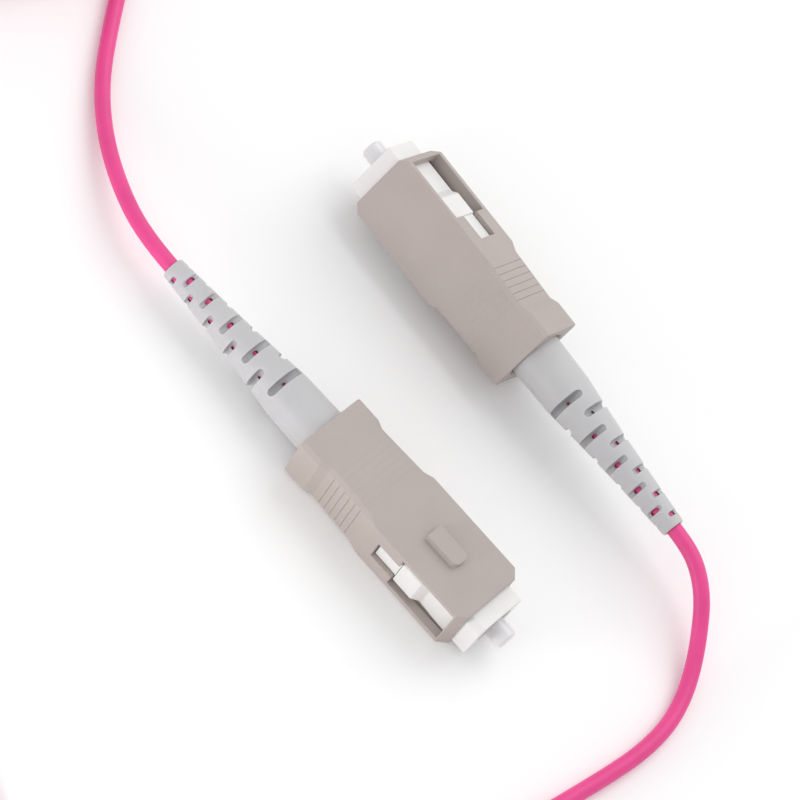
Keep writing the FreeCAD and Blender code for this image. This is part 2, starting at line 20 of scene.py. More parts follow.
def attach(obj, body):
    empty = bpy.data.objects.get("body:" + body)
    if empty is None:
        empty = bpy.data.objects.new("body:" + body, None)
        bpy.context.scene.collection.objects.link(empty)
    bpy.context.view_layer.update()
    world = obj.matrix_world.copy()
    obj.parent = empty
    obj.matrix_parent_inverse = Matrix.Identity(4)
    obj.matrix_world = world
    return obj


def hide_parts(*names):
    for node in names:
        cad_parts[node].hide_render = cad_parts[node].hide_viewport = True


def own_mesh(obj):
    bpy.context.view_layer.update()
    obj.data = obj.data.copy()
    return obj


bl_info = {
    "name": "Fibre patch cord",
    "version": (1, 0, 0),
    "blender": (4, 5, 0),
    "location": "View3D > Sidebar > Patch cord",
    "description": "Models a simplex fibre patch cord round its CAD frame",
    "category": "Object",
}

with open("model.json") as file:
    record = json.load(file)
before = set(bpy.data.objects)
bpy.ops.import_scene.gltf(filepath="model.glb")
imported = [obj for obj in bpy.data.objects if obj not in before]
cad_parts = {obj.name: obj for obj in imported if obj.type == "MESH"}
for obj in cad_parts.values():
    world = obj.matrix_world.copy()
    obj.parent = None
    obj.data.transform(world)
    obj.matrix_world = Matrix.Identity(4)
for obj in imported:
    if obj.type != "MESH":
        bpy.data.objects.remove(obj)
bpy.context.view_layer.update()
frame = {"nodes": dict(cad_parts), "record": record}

MM = 0.001
X, Y, Z = range(3)
ENDS = ("a", "b")
BOTH_WAYS = (-1, 1)
EVEN = (1.0, 1.0, 1.0)

# Allowances while modelling, in millimetres
TOUCH = 0.002  # two points that are closer than this are one
LAP = 0.01  # how far two cuts run into each other
SUNK = 0.1  # how far a joined block runs into its neighbour
PAST = 1.0  # how far a cutter runs past what it cuts
LONG_EDGE = 0.5  # an edge that runs along a piece is longer than this

# Sides of a ring, and steps of a curve
ROUND_SIDES = 96
SLOT_SIDES = 32
KEY_CORNER_STEPS = 10
STRAP_BEND_STEPS = 6
TAPER_STEPS = 8
TIP_STEPS = 3

# Turns from one face to the next, past which an edge is rounded or shows as a crease
MOULDED_TURN = math.radians(25)
GROUND_TURN = math.radians(30)
CLOTH_TURN = math.radians(40)
FLAT_TURN = math.radians(32)
CREASE_TURN = math.radians(8)
FACING = 0.9  # share of a face's normal along an axis, past which it looks that way

# Studio, in metres
NEAREST_SEEN = 0.01
FLOOR_DROP = 0.00002

# Cable on the floor, in millimetres: points from each boot's tail to the coil
FLOOR_RUN = 0.9
ROUTE_A = [
    (-28.4, 18.4, 3.55),
    (-30.2, 24.3, 2.7),
    (-31.0, 31.2, 1.6),
    (-30.6, 38.2, 1.0),
    (-28.9, 45.0, FLOOR_RUN),
    (-26.9, 51.5, 0.95),
    (-26.2, 58.0, 1.3),
]
ROUTE_B = [
    (27.0, -18.95, 5.7),
    (27.9, -21.5, 5.3),
    (28.3, -24.4, 4.25),
    (28.0, -27.5, 2.85),
    (27.25, -30.8, 1.65),
    (25.8, -34.2, 1.0),
    (23.35, -37.5, FLOOR_RUN),
    (19.7, -40.4, FLOOR_RUN),
    (15.2, -42.9, FLOOR_RUN),
    (9.6, -45.7, FLOOR_RUN),
    (2.0, -49.6, FLOOR_RUN),
    (-8.5, -54.6, FLOOR_RUN),
    (-20.5, -58.6, FLOOR_RUN),
    (-33.0, -59.6, FLOOR_RUN),
    (-43.8, -55.2, FLOOR_RUN),
    (-50.6, -46.4, FLOOR_RUN),
    (-52.4, -34.0, FLOOR_RUN),
    (-52.0, -17.0, FLOOR_RUN),
    (-51.1, 3.0, FLOOR_RUN),
    (-50.9, 23.0, FLOOR_RUN),
    (-51.3, 38.0, 1.4),
    (-51.4, 49.0, 4.0),
    (-51.2, 57.5, 6.3),
]
COIL_POINTS_IN_TURN = 24
CLIMB_TURNS = 0.5  # part of a turn in which the cable climbs to the next layer


# Settings
def size(label, about, millimetres):
    """A length setting, kept in metres."""
    return FloatProperty(
        name=label, description=about, default=millimetres * MM, unit="LENGTH", precision=5)


def position(label, about, metres):
    """A place setting."""
    return FloatVectorProperty(
        name=label, description=about, default=metres, size=3, subtype="TRANSLATION", unit="LENGTH")


def angle(label, about, degrees):
    """An angle setting."""
    return FloatProperty(name=label, description=about, default=math.radians(degrees), subtype="ANGLE")


def colour(label, about, value):
    """A colour setting, as linear light."""
    return FloatVectorProperty(
        name=label, description=about, default=value, size=3, min=0, max=1, subtype="COLOR")


def power(label, about, watts):
    """A lamp's power."""
    return FloatProperty(name=label, description=about, default=watts, unit="POWER")


def whole_number(label, about, value):
    """A setting that counts."""
    return IntProperty(name=label, description=about, default=value)


class GripSizes(bpy.types.PropertyGroup):
    """Sliding outer sleeve of a connector."""

    length: size("Length", "Rear face to front face", 25.2)
    width: size("Width", "Across the two windows", 9.1)
    height: size("Height", "Across the key face, without the key", 7.2)
    rear_block: size("Rear block", "Length of the plain block at the rear", 3.0)
    rear_block_inset: size("Rear block inset", "How far the rear block's sides stand in", 0.05)
    flare: size("Flare", "Length of the slope from the rear block to the waist", 1.05)
    waist: size("Waist", "Length of the ribbed waist", 6.3)
    waist_rear_inset: size("Waist rear inset", "How far the waist's sides stand in at its rear", 0.45)
    waist_front_inset: size("Waist front inset", "How far the waist's sides stand in at its front", 0.2)
    step: size("Step", "Length of the slope from the waist to the full width", 1.25)
    chamfer: size("Edge chamfer", "Cut along the four long edges of the rear half", 0.5)
    lead_in: size("Lead-in", "Cut at the front corners beside the windows", 0.95)
    key_length: size("Key length", "Along the grip", 4.5)
    key_width: size("Key width", "Across the grip", 2.0)
    key_height: size("Key height", "Above the key face", 0.8)
    key_foot: size("Key foot", "Cavity's roof to the key's foot in the wall", 0.2)
    key_corner: size("Key corner", "Rounding of the key's two front corners", 0.7)
    key_setback: size("Key setback", "Grip's front to the key's front", 4.8)
    rib_pitch: size("Rib pitch", "From one groove to the next", 0.85)
    rib_width: size("Groove width", "Width of the grooves between ribs", 0.10)
    rib_side_depth: size("Side groove depth", "Depth of the grooves on the window sides", 0.06)
    rib_face_depth: size("Face groove depth", "Depth of the grooves on the other two sides", 0.010)
    rib_plain_strip: size("Plain strip", "Start of the waist to the first groove", 1.01)
    window_land: size("Window land", "Front corner cut to the window", 0.15)
    window_length: size("Window length", "Wide part of the side window", 7.8)
    window_height: size("Window height", "Wide part of the side window", 5.9)
    window_tail_length: size("Window tail length", "Narrow part of the side window", 3.2)
    window_tail_height: size("Window tail height", "Narrow part of the side window", 3.0)
    cavity_width: size("Cavity width", "Inside, across the windows", 6.9)
    cavity_height: size("Cavity height", "Inside, across the key face", 5.95)
    rear_bore_depth: size("Rear bore depth", "Rear face to the square cavity", 6.0)
    rear_bore_radius: size("Rear bore radius", "Round the boot", 3.2)
    mouth_chamfer: size("Mouth chamfer", "At the rear bore's mouth", 0.25)
    edge_round: size("Edge round", "Moulded rounding of the sharp edges", 0.09)


class PlugFrameSizes(bpy.types.PropertyGroup):
    """Inner frame that carries the two latch blocks."""

    rear: size("Rear", "Grip's rear to the frame's rear", 6.6)
    front: size("Front", "Grip's rear to the frame's nose", 27.2)
    width: size("Width", "Across the windows", 6.7)
    height: size("Height", "Across the key face", 5.75)
    chamfer: size("Key-side chamfer", "Cut along the two edges on the key side", 0.7)
    latch_rear: size("Latch rear", "Grip's rear to the latch block's rear", 16.4)
    latch_length: size("Latch length", "Flat part of the latch block", 2.8)
    latch_ramp: size("Latch ramp", "Sloped part of the latch block", 1.0)
    latch_proud: size("Latch height", "Above the frame's side", 0.75)
    latch_root: size("Latch root", "How far the latch block reaches into the frame", 1.2)
    latch_width: size("Latch width", "Across the block", 4.6)
    rail_rear: size("Rail rear", "Grip's rear to the rear of the rail behind the latch block", 13.2)
    rail_proud: size("Rail height", "Above the frame's side", 0.65)
    rail_width: size("Rail width", "Across the rail", 2.8)
    nose_bore_radius: size("Nose bore radius", "Round the ferrule", 2.35)
    web_front: size("Web front", "Grip's rear to the floor of the nose bore", 20.0)
    web_rear: size("Web rear", "Grip's rear to the end of the rear bore", 18.6)
    web_hole_radius: size("Web hole radius", "Hole between the two bores", 1.85)
    rear_bore_radius: size("Rear bore radius", "Round the spring", 2.4)
    edge_round: size("Edge round", "Moulded rounding of the sharp edges", 0.12)


class FerruleSizes(bpy.types.PropertyGroup):
    """Ceramic pin."""

    radius: size("Radius", "Of the pin", 1.25)
    tip: size("Tip", "Grip's rear to the polished tip", 29.4)
    rear: size("Rear", "Grip's rear to the step", 20.65)
    tip_chamfer: size("Tip chamfer", "Round the polished face", 0.25)
    dome_outer: size("Outer dome", "Rise over the outer half of the polished face", 0.006)
    dome_inner: size("Inner dome", "Rise over the inner half of the polished face", 0.004)
    spigot_step: size("Spigot step", "How far the pressed end stands in", 0.2)
    spigot_length: size("Spigot length", "Pressed end", 1.8)
    core_radius: size("Fibre radius", "Glass fibre in the polished face", 0.065)
    edge_round: size("Edge round", "Ground rounding of the sharp edges", 0.04)


class BootSizes(bpy.types.PropertyGroup):
    """Slotted strain relief."""

    length: size("Length", "Grip's rear to the tail", 24.0)
    front: size("Front", "Grip's rear to the neck's front", 5.35)
    neck_start: size("Neck start", "Grip's rear to the shoulder", 1.0)
    neck_radius: size("Neck radius", "Inside the grip", 2.85)
    base_radius: size("Base radius", "At the grip", 3.0)
    base_length: size("Base length", "Plain part before the slots", 5.5)
    base_end_radius: size("Base end radius", "Where the taper starts", 2.88)
    tip_radius: size("Tip radius", "Where the taper ends", 1.33)
    tip_round: size("Tip round", "Rounding of the tail", 0.22)
    hollow: size("Hollow", "How far the taper's middle stands in", 0.12)
    bore_radius: size("Bore radius", "Round the cable", 1.08)
    crimp_bore_radius: size("Crimp bore radius", "Round the crimp sleeve", 2.49)
    crimp_tail_radius: size("Crimp tail radius", "Round the crimp sleeve's tail", 1.31)
    crimp_front: size("Crimp cone front", "Grip's rear to the front of the crimp's cone", -0.85)
    crimp_back: size("Crimp cone rear", "Grip's rear to the rear of the crimp's cone", -1.85)
    crimp_end: size("Crimp end", "Grip's rear to the end of the crimp's tail", -5.0)
    slot_first: size("First slot", "Tail to the first slot", 1.3)
    slot_gap: size("Slot gap", "First slot to the second", 1.28)
    slot_gap_growth: size("Slot gap growth", "How much each gap grows on the one before", 0.13)
    slot_tip_width: size("Slot width at the tip", "Along the boot", 0.55)
    slot_base_width: size("Slot width at the base", "Along the boot", 0.9)
    slot_land: size("Slot land", "Rib left at each end of a slot", 0.38)
    slot_tip_floor: size("Slot floor at the tip", "Axis to the bottom of the slot's round floor", 0.90)
    slot_base_floor: size("Slot floor at the base", "Axis to the bottom of the slot's round floor", 1.06)


class CableSizes(bpy.types.PropertyGroup):
    """Free cable between the two boots, its coil and the coil's strap."""

    diameter: size("Diameter", "Over the jacket", 1.8)
    length: size("Length", "From one boot's tail to the other's", 891.0)
    coil_x: size("Coil x", "Coil's centre", -38.6)
    coil_y: size("Coil y", "Coil's centre", 64.5)
    coil_mean_radius: size("Coil radius", "Middle of the turns", 10.4)
    coil_half_width: size("Coil half width", "Middle of the turns to the outermost turn's middle", 2.1375)
    coil_low: size("Coil height", "Floor to the middle of the lowest layer", 1.3)
    strap_width: size("Strap width", "Along the cable", 4.0)
    strap_thickness: size("Strap thickness", "One layer", 0.4)
    strap_corner: size("Strap corner", "Outside radius of its bends", 1.2)
    strap_edge_round: size("Strap edge round", "Rounding of its edges", 0.06)
    flap_inset: size("Flap inset", "Strap's edge to the edge of its second layer", 0.1)
    flap_setback: size("Flap setback", "Strap's bend to its second layer", 0.2)
    flap_length: size("Flap length", "Second layer, along the strap", 4.548)
    flap_thickness: size("Flap thickness", "Second layer, pressed into the first", 0.32)


class LayoutSettings(bpy.types.PropertyGroup):
    """How the coil is wound, how each connector lies, and how many slots and grooves there are."""

    layers: whole_number("Layers", "Layers of turns in the coil", 4)
    turns_in_layer: FloatProperty(
        name="Turns in a layer", description="Turns wound in one layer", default=2.375)
    strap_bearing: angle("Strap bearing", "Where the strap lies round the coil", 165.0)
    roll_a: angle("Roll of end a", "About its own axis, with 0 key side up", 0.0)
    roll_b: angle("Roll of end b", "About its own axis, with 0 key side up", 120.0)
    slots_in_row: whole_number("Slots in a row", "Slots along one side of a boot", 5)
    ribs: whole_number("Grooves", "Grooves round the grip's waist", 6)


class FinishColours(bpy.types.PropertyGroup):
    """Colours of the finishes."""

    grip: colour("Grip", "Beige satin plastic", (0.445, 0.388, 0.362))
    frame: colour("Plug frame", "White plastic", (0.78, 0.775, 0.765))
    ferrule: colour("Ferrule", "White ceramic", (0.72, 0.715, 0.73))
    boot: colour("Boot", "Grey-white soft plastic", (0.53, 0.525, 0.535))
    jacket: colour("Jacket", "Pink cable jacket", (0.77, 0.062, 0.265))
    flange: colour("Flange", "Turned metal", (0.60, 0.60, 0.62))
    steel: colour("Spring", "Drawn wire", (0.42, 0.42, 0.44))
    plated: colour("Stop ring", "Plated metal", (0.56, 0.56, 0.58))
    crimp: colour("Crimp sleeve", "Soft metal", (0.64, 0.64, 0.66))
    yarn: colour("Yarn", "Strength yarn", (0.72, 0.52, 0.10))
    buffer: colour("Buffer", "Fibre buffer", (0.80, 0.80, 0.77))
    strap: colour("Strap", "Hook and loop strap", (0.018, 0.018, 0.020))
    glass: colour("Fibre", "Glass in the ferrule's face", (0.06, 0.065, 0.07))
    floor: colour("Floor", "Pale floor", (0.95, 0.95, 0.95))


class StudioSettings(bpy.types.PropertyGroup):
    """Camera, lights and floor."""

    eye: position("Camera", "Where the camera stands", (-0.12484, -0.14998, 0.33614))
    turn: FloatVectorProperty(
        name="Camera turn", description="How the camera is turned", size=3, subtype="EULER",
        default=(math.radians(25.32), math.radians(-16.90), math.radians(-7.83)))
    lens: FloatProperty(
        name="Lens", description="Focal length in millimetres", default=162.0, unit="CAMERA")
    floor_side: size("Floor side", "Side of the square floor", 4000.0)
    sky: FloatProperty(name="Sky", description="Strength of the even white light", default=0.76)
    back_power: power("Back light", "Power of the light behind", 0.76)
    back_place: position("Back light's place", "Where the light behind stands", (0.23, 0.145, 0.32))
    back_side: size("Back light's side", "Side of its square face", 350.0)
    near_power: power("Near light", "Power of the low near light", 0.15)
    near_place: position("Near light's place", "Where the near light stands", (-0.100, -0.045, 0.022))
    near_radius: size("Near light's radius", "Radius of its globe", 18.0)


class PatchCordSettings(bpy.types.PropertyGroup):
    """All the settings of the patch cord."""

    grip: PointerProperty(type=GripSizes)
    plug_frame: PointerProperty(type=PlugFrameSizes)
    ferrule: PointerProperty(type=FerruleSizes)
    boot: PointerProperty(type=BootSizes)
    cable: PointerProperty(type=CableSizes)
    layout: PointerProperty(type=LayoutSettings)
    colours: PointerProperty(type=FinishColours)
    studio: PointerProperty(type=StudioSettings)


def settings():
    """The scene's own settings."""
    return bpy.context.scene.patch_cord


def in_mm(group):
    """A group of lengths as plain numbers of millimetres."""
    return SimpleNamespace(**{key: getattr(group, key) / MM for key in group.__annotations__})


# Where the connectors lie
def connector_matrix(end):
    """From a connector's own axes to the frame: x forward from the grip's rear, z towards its key."""
    mount = next(m for m in frame["record"]["mounts"] if m["name"] == f"coupling_{end}")
    forward = Vector(mount["axis"])
    rear = Vector(mount["pos_m"]) - forward * settings().grip.length
    heading = Matrix.Rotation(math.atan2(forward.y, forward.x), 4, "Z")
    roll = Matrix.Rotation(getattr(settings().layout, f"roll_{end}"), 4, "X")
    return Matrix.Translation(rear) @ heading @ roll


def cable_exit(end):
    """Point on a connector's axis at the tail of its boot."""
    return connector_matrix(end) @ Vector((-settings().boot.length, 0, 0))


# Modelling steps
def deselect():
    """Leaves nothing selected, in object mode."""
    if bpy.context.object is not None and bpy.context.object.mode != "OBJECT":
        bpy.ops.object.mode_set(mode="OBJECT")
    bpy.ops.object.select_all(action="DESELECT")


def activate(piece):
    """Makes a piece the only one that operators act on."""
    deselect()
    piece.select_set(True)
    bpy.context.view_layer.objects.active = piece


@contextmanager
def editing(piece):
    """Edit mode on one piece."""
    activate(piece)
    bpy.ops.object.mode_set(mode="EDIT")
    yield
    bpy.ops.object.mode_set(mode="OBJECT")


def bake_place():
    """Puts the selected piece's place, turn and scale into its mesh."""
    bpy.ops.object.transform_apply(location=True, rotation=True, scale=True)


def named(name):
    """Names the object that was just added, and puts its place and scale into its mesh."""
    piece = bpy.context.object
    piece.name = piece.data.name = name
    bake_place()
    return piece


def add_block(name, *spans):
    """A box between the two ends given for x, y and z."""
    deselect()
    middle = [(low + high) / 2 for low, high in spans]
    bpy.ops.mesh.primitive_cube_add(size=1, location=middle, scale=[high - low for low, high in spans])
    return named(name)


def add_rod(name, start, end, radius, end_radius=None):
    """A round bar or cone along x."""
    deselect()
    bpy.ops.mesh.primitive_cone_add(
        vertices=ROUND_SIDES, radius1=radius, radius2=radius if end_radius is None else end_radius,
        depth=end - start, location=((start + end) / 2, 0, 0), rotation=(0, math.pi / 2, 0))
    return named(name)


def add_turned(name, profile):
    """A closed shell about x: a ring drawn out from each (x, radius) point to the next."""
    deselect()
    x, radius = profile[0]
    bpy.ops.mesh.primitive_circle_add(
        vertices=ROUND_SIDES, radius=radius, location=(x, 0, 0), rotation=(0, math.pi / 2, 0))
    piece = named(name)
    with editing(piece):
        bpy.ops.mesh.select_all(action="SELECT")
        for next_x, next_radius in profile[1:]:
            bpy.ops.mesh.extrude_edges_move(TRANSFORM_OT_translate={"value": (next_x - x, 0, 0)})
            spread = next_radius / radius
            bpy.ops.transform.resize(value=(1, spread, spread), center_override=(next_x, 0, 0))
            x, radius = next_x, next_radius
        merge(TOUCH)
        bpy.ops.mesh.normals_make_consistent(inside=False)
    return piece


def pick(piece, kind, test):
    """In edit mode, selects only the vertices, edges or faces that pass a test of their place."""
    bpy.ops.mesh.select_mode(type=kind)
    bpy.ops.mesh.select_all(action="DESELECT")
    mesh = bmesh.from_edit_mesh(piece.data)
    parts = {"VERT": mesh.verts, "EDGE": mesh.edges, "FACE": mesh.faces}[kind]
    found = [part for part in parts if test(part)]
    if not found:
        raise RuntimeError(f"{piece.name}: nothing of kind {kind} passes the test")
    for part in found:
        part.select_set(True)
    bmesh.update_edit_mesh(piece.data)
    return [part.co.copy() for part in found] if kind == "VERT" else []


def near(a, b):
    """True for two places in the same spot."""
    return abs(a - b) < TOUCH


def lies_at(edge, axis, place):
    """True for an edge with both ends at one place along an axis."""
    return all(near(vertex.co[axis], place) for vertex in edge.verts)


def reach(edge, axis):
    """How far an edge runs along an axis."""
    return abs(edge.verts[0].co[axis] - edge.verts[1].co[axis])


def slice_at(places):
    """Cuts new edges across the piece in edit mode, at places along x."""
    for x in places:
        bpy.ops.mesh.select_all(action="SELECT")
        bpy.ops.mesh.bisect(plane_co=(x, 0, 0), plane_no=(1, 0, 0))


def merge(distance):
    """Merges the points, in edit mode, that lie closer than a distance."""
    bpy.ops.mesh.select_all(action="SELECT")
    bpy.ops.mesh.remove_doubles(threshold=distance)


def cut_edges(width, steps=1):
    """Cuts off the selected edges, flat or, in more steps, round."""
    bpy.ops.mesh.bevel(offset=width, offset_type="OFFSET", segments=steps, affect="EDGES")


def cut_key_side(block, top, width):
    """Cuts off the two long edges of a block's key side."""
    with editing(block):
        pick(block, "EDGE", lambda e: lies_at(e, Z, top) and reach(e, Y) < TOUCH)
        cut_edges(width)


def drop_slivers(piece):
    """Merges points that cuts left in one spot, and drops faces of no area."""
    with editing(piece):
        merge(TOUCH)
        bpy.ops.mesh.dissolve_degenerate(threshold=TOUCH)


def modify(piece, kind, **values):
    """Gives a piece a modifier with its settings, and applies it."""
    activate(piece)
    bpy.ops.object.modifier_add(type=kind)
    modifier = piece.modifiers[-1]
    for key, value in values.items():
        setattr(modifier, key, value)
    bpy.ops.object.modifier_apply(modifier=modifier.name)


def combine(piece, tool, operation):
    """Adds a tool's shape to a piece or cuts it out, and drops the tool."""
    modify(piece, "BOOLEAN", operation=operation, solver="EXACT", object=tool)
    mesh = tool.data
    bpy.data.objects.remove(tool)
    bpy.data.meshes.remove(mesh)


def round_edges(piece, width, sharper_than=MOULDED_TURN):
    """Rounds every edge that turns by more than an angle."""
    modify(piece, "BEVEL", width=width, segments=2, limit_method="ANGLE", angle_limit=sharper_than,
           use_clamp_overlap=False)


def shade(piece, crease=FLAT_TURN):
    """Smooth shading that keeps flat faces flat up to their rounded edges, and creases sharp."""
    activate(piece)
    bpy.ops.object.shade_smooth_by_angle(angle=crease)
    modify(piece, "WEIGHTED_NORMAL", keep_sharp=True)


def twin_of(piece, name):
    """A copy of a piece with its own mesh."""
    activate(piece)
    bpy.ops.object.duplicate(linked=False)
    twin = bpy.context.object
    twin.name = twin.data.name = name
    return twin


def lay(piece, place):
    """Brings a piece from its own millimetres to its place in the frame."""
    activate(piece)
    piece.matrix_world = place @ Matrix.Scale(MM, 4)
    bake_place()


def dress(piece, *finishes):
    """Gives a piece its finishes, in order."""
    piece.data.materials.clear()
    for finish in finishes:
        piece.data.materials.append(finish)


def enlist(piece, body, slot, *nodes):
    """Says what a piece rides on and which CAD nodes it stands for. The slot is not used."""
    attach(piece, body)
    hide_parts(*nodes)


def lay_on_ends(piece, stem, node, slot, *finishes, moves=False):
    """Lays a modelled piece on end a and a copy on end b, in place of a CAD node."""
    pieces = [piece, twin_of(piece, stem)]
    for end, laid in zip(ENDS, pieces):
        replaced = f"{node}_{end}"
        laid.name = laid.data.name = f"{stem}_{end}"
        lay(laid, connector_matrix(end))
        dress(laid, *finishes)
        enlist(laid, replaced if moves else "cord", slot, replaced)
    return pieces


# Finishes
class Finish:
    """A node material built up from one shader, on Object coordinates."""

    mottle_stops = (0.3, 0.7)

    def __init__(self, name, **constants):
        self.material = bpy.data.materials.get(name) or bpy.data.materials.new(name)
        self.material.use_nodes = True
        self.tree = self.material.node_tree
        self.tree.nodes.clear()
        self.shader = self.tree.nodes.new("ShaderNodeBsdfPrincipled")
        output = self.tree.nodes.new("ShaderNodeOutputMaterial")
        self.tree.links.new(self.shader.outputs["BSDF"], output.inputs["Surface"])
        self.place = self.tree.nodes.new("ShaderNodeTexCoord").outputs["Object"]
        for socket, value in constants.items():
            self.shader.inputs[socket.replace("_", " ")].default_value = value

    def node(self, kind, **inputs):
        """A node with some of its sockets set or linked."""
        made = self.tree.nodes.new(kind)
        for socket, value in inputs.items():
            self.feed(made.inputs[socket.replace("_", " ")], value)
        return made

    def feed(self, socket, value):
        """Links an output to a socket, or sets the socket's value."""
        if isinstance(value, bpy.types.NodeSocket):
            self.tree.links.new(value, socket)
        else:
            socket.default_value = value

    def noise(self, scale, detail=2.0, stretch=None):
        """Even noise with a number of waves to the metre."""
        place = self.place
        if stretch is not None:
            place = self.node("ShaderNodeMapping", Vector=place, Scale=stretch).outputs["Vector"]
        return self.node("ShaderNodeTexNoise", Vector=place, Scale=scale, Detail=detail).outputs["Fac"]

    def mottle(self, value, spread, factor):
        """Colour that drifts a little to each side of a middle one."""
        ramp = self.tree.nodes.new("ShaderNodeValToRGB")
        shares = (1 - spread, 1 + spread)
        for stop, place, share in zip(ramp.color_ramp.elements, self.mottle_stops, shares):
            stop.position = place
            stop.color = [min(1.0, c * share) for c in value] + [1.0]
        self.feed(ramp.inputs["Fac"], factor)
        self.feed(self.shader.inputs["Base Color"], ramp.outputs["Color"])

    def gloss(self, low, high, factor):
        """Roughness between two values."""
        spread = self.node("ShaderNodeMapRange", Value=factor, To_Min=low, To_Max=high)
        self.feed(self.shader.inputs["Roughness"], spread.outputs["Result"])

    def soft_rims(self, radius):
        """A normal that rounds sharp rims by a radius."""
        return self.node("ShaderNodeBevel", Radius=radius).outputs["Normal"]

    def relief(self, depth, *heights, normal=None):
        """Fine surface relief, each height on top of the one before."""
        for strength, height in heights:
            bump = self.node("ShaderNodeBump", Strength=strength, Distance=depth, Height=height)
            if normal is not None:
                self.feed(bump.inputs["Normal"], normal)
            normal = bump.outputs["Normal"]
        self.feed(self.shader.inputs["Normal"], normal)


def grip_finish():
    """Beige plastic from a spark-eroded mould."""
    made = Finish("grip_plastic", Specular_IOR_Level=0.35)
    made.mottle(settings().colours.grip, 0.025, made.noise(180, detail=3))
    made.gloss(0.48, 0.62, made.noise(2600))
    made.relief(0.00003, (0.45, made.noise(5200, detail=3)), (0.2, made.noise(900)))
    return made.material


def frame_finish():
    """Smooth white plastic."""
    made = Finish("frame_plastic", Specular_IOR_Level=0.45, Subsurface_Weight=0.12,
                  Subsurface_Scale=0.0006, Subsurface_Radius=EVEN)
    made.mottle(settings().colours.frame, 0.012, made.noise(260, detail=3))
    made.gloss(0.28, 0.38, made.noise(1800))
    made.relief(0.00001, (0.2, made.noise(3600)))
    return made.material


def ferrule_finish():
    """Ground white ceramic."""
    made = Finish("ferrule_ceramic", Specular_IOR_Level=0.6, Subsurface_Weight=0.1,
                  Subsurface_Scale=0.0004, Subsurface_Radius=EVEN)
    made.mottle(settings().colours.ferrule, 0.012, made.noise(500, detail=3))
    made.gloss(0.16, 0.26, made.noise(4000))
    made.relief(0.000006, (0.15, made.noise(7000)))
    return made.material


def glass_finish():
    """Polished end of the glass fibre."""
    made = Finish("fibre_glass", Specular_IOR_Level=0.6)
    made.mottle(settings().colours.glass, 0.1, made.noise(9000))
    made.gloss(0.04, 0.1, made.noise(9000))
    return made.material


def boot_finish():
    """Soft grey-white plastic with a satin skin."""
    made = Finish("boot_rubber", Specular_IOR_Level=0.35, Subsurface_Weight=0.4,
                  Subsurface_Scale=0.0009, Subsurface_Radius=EVEN)
    made.mottle(settings().colours.boot, 0.02, made.noise(220, detail=3))
    made.gloss(0.42, 0.56, made.noise(2000))
    rims = made.soft_rims(0.00006)
    made.relief(0.000015, (0.3, made.noise(4200, detail=3)), (0.15, made.noise(700)), normal=rims)
    return made.material


def jacket_finish():
    """Pink extruded jacket."""
    made = Finish("jacket", Specular_IOR_Level=0.4)
    made.mottle(settings().colours.jacket, 0.05, made.noise(240, detail=3))
    made.gloss(0.36, 0.5, made.noise(1600))
    made.relief(0.00002, (0.25, made.noise(2800, detail=3)), (0.2, made.noise(500)))
    return made.material


def metal_finish(name, value, rough, scale):
    """Turned or drawn metal, with fine marks that lie level."""
    made = Finish(name, Metallic=1.0)
    marks = made.noise(1.0, stretch=(scale, scale, 4 * scale))
    made.mottle(value, 0.06, made.noise(800, detail=3))
    made.gloss(rough, rough + 0.15, marks)
    made.relief(0.000008, (0.3, marks))
    return made.material


def yarn_finish():
    """Yellow strength yarn."""
    made = Finish("yarn", Sheen_Weight=0.4)
    strands = made.noise(1.0, detail=3, stretch=(9000, 2000, 9000))
    made.mottle(settings().colours.yarn, 0.25, strands)
    made.gloss(0.55, 0.8, strands)
    made.relief(0.00004, (0.6, strands))
    return made.material


def buffer_finish():
    """Fibre buffer inside the jacket."""
    made = Finish("buffer", Specular_IOR_Level=0.4)
    made.mottle(settings().colours.buffer, 0.02, made.noise(600))
    made.gloss(0.35, 0.5, made.noise(2500))
    made.relief(0.00001, (0.2, made.noise(4000)))
    return made.material


def strap_finish():
    """Black hook-and-loop strap with a napped face."""
    made = Finish("tie_strap", Sheen_Weight=0.5, Sheen_Roughness=0.4)
    loops = made.node("ShaderNodeTexVoronoi", Vector=made.place, Scale=6800.0).outputs["Distance"]
    made.mottle(settings().colours.strap, 0.5, made.noise(2600, detail=4))
    made.gloss(0.7, 0.95, made.noise(2600, detail=4))
    made.relief(0.00008, (0.6, loops), (0.4, made.noise(12000, detail=3)))
    return made.material


def floor_finish():
    """Pale matt floor."""
    made = Finish("studio_floor", Specular_IOR_Level=0.1)
    made.mottle(settings().colours.floor, 0.004, made.noise(12, detail=3))
    made.gloss(0.85, 0.95, made.noise(60))
    return made.material


